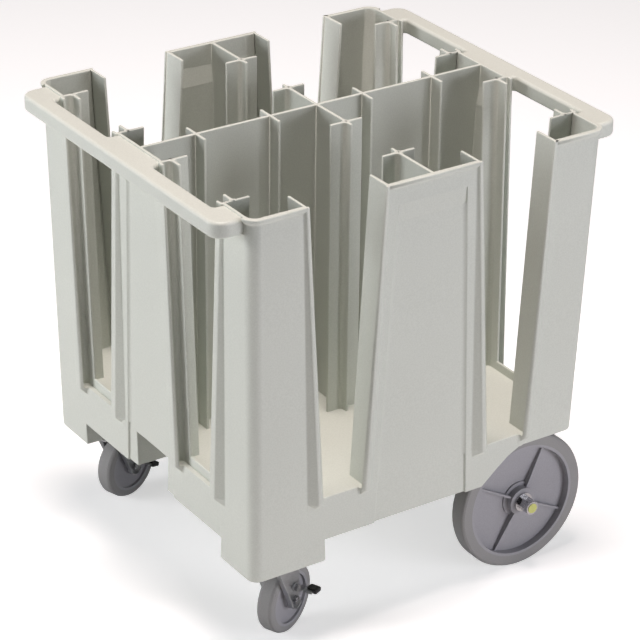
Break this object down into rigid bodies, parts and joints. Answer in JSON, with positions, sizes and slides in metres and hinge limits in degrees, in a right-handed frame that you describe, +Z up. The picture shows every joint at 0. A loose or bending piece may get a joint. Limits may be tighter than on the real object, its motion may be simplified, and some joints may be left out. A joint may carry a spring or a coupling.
{
  "type": "plate dispenser cart",
  "caption": "Open moulded plate cart with tapered hand slots, plate wells, bar handles, large rear wheels and braked swivel casters.",
  "frame": {"origin": "on the floor, under the middle of the body", "axes": "+X from the caster end to the wheel end, +Y to the cart's right side, +Z up"},
  "size_m": [0.8, 0.696, 0.83],
  "materials": {
    "body_plastic": "moulded, finely grained, speckled light grey",
    "tyre_grey": "matt grey non-marking tread",
    "wheel_grey": "smooth grey moulding",
    "zinc_steel": "zinc plated sheet",
    "bright_steel": "bright plated",
    "cap_yellow": "yellow-green nut insert",
    "tab_black": "black moulded",
    "bush_black": "black bearing bush"
  },
  "bodies": {
    "cart": {"base_tub": "body_plastic", "corner_post_front_left": "body_plastic", "corner_post_front_right": "body_plastic", "corner_post_rear_left": "body_plastic", "corner_post_rear_right": "body_plastic", "side_post_left": "body_plastic", "side_post_right": "body_plastic", "end_post_front": "body_plastic", "end_post_rear": "body_plastic", "centre_divider": "body_plastic", "handle_front": "body_plastic", "handle_rear": "body_plastic", "rear_axle": "zinc_steel", "axle_bracket_left": "zinc_steel", "axle_bracket_right": "zinc_steel", "bracket_screws": "zinc_steel", "axle_spacers": "zinc_steel", "axle_washers": "bright_steel", "axle_nuts": "bright_steel", "axle_caps": "cap_yellow", "caster_bolts": "zinc_steel", "caster_nuts": "zinc_steel", "caster_plate_left": "zinc_steel", "swivel_race_left": "zinc_steel", "kingpin_left": "zinc_steel", "caster_plate_right": "zinc_steel", "swivel_race_right": "zinc_steel", "kingpin_right": "zinc_steel"},
    "rear_wheel_left": {"tyre_left": "tyre_grey", "wheel_centre_left": "wheel_grey", "wheel_bush_left": "bush_black"},
    "caster_left": {"fork_left": "zinc_steel", "caster_axle_left": "bright_steel", "caster_axle_nut_left": "bright_steel", "brake_pin_left": "bright_steel"},
    "caster_wheel_left": {"caster_tread_left": "tyre_grey", "caster_core_left": "wheel_grey", "caster_bush_left": "zinc_steel"},
    "brake_left": {"brake_lever_left": "zinc_steel", "brake_tab_left": "tab_black"},
    "rear_wheel_right": {"tyre_right": "tyre_grey", "wheel_centre_right": "wheel_grey", "wheel_bush_right": "bush_black"},
    "caster_right": {"fork_right": "zinc_steel", "caster_axle_right": "bright_steel", "caster_axle_nut_right": "bright_steel", "brake_pin_right": "bright_steel"},
    "caster_wheel_right": {"caster_tread_right": "tyre_grey", "caster_core_right": "wheel_grey", "caster_bush_right": "zinc_steel"},
    "brake_right": {"brake_lever_right": "zinc_steel", "brake_tab_right": "tab_black"}
  },
  "joints": [
    {"name": "rear_wheel_left_spin", "type": "hinge", "parent": "cart", "child": "rear_wheel_left", "pos_m": [0.235, -0.2985, 0.13], "axis": [0, 1, 0], "continuous": true},
    {"name": "rear_wheel_right_spin", "type": "hinge", "parent": "cart", "child": "rear_wheel_right", "pos_m": [0.235, 0.2985, 0.13], "axis": [0, 1, 0], "continuous": true},
    {"name": "caster_left_swivel", "type": "hinge", "parent": "cart", "child": "caster_left", "pos_m": [-0.256, -0.273, 0.15], "axis": [0, 0, 1], "continuous": true},
    {"name": "caster_wheel_left_spin", "type": "hinge", "parent": "caster_left", "child": "caster_wheel_left", "pos_m": [-0.23225, -0.26243, 0.0635], "axis": [-0.4067, 0.9135, 0], "continuous": true},
    {"name": "brake_left_press", "type": "hinge", "parent": "caster_left", "child": "brake_left", "pos_m": [-0.23225, -0.26243, 0.0895], "axis": [-0.4067, 0.9135, 0], "range_deg": [0, 14]},
    {"name": "caster_right_swivel", "type": "hinge", "parent": "cart", "child": "caster_right", "pos_m": [-0.256, 0.273, 0.15], "axis": [0, 0, 1], "continuous": true},
    {"name": "caster_wheel_right_spin", "type": "hinge", "parent": "caster_right", "child": "caster_wheel_right", "pos_m": [-0.23127, 0.28103, 0.0635], "axis": [-0.309, 0.9511, 0], "continuous": true},
    {"name": "brake_right_press", "type": "hinge", "parent": "caster_right", "child": "brake_right", "pos_m": [-0.23127, 0.28103, 0.0895], "axis": [-0.309, 0.9511, 0], "range_deg": [-14, 0]}
  ]
}
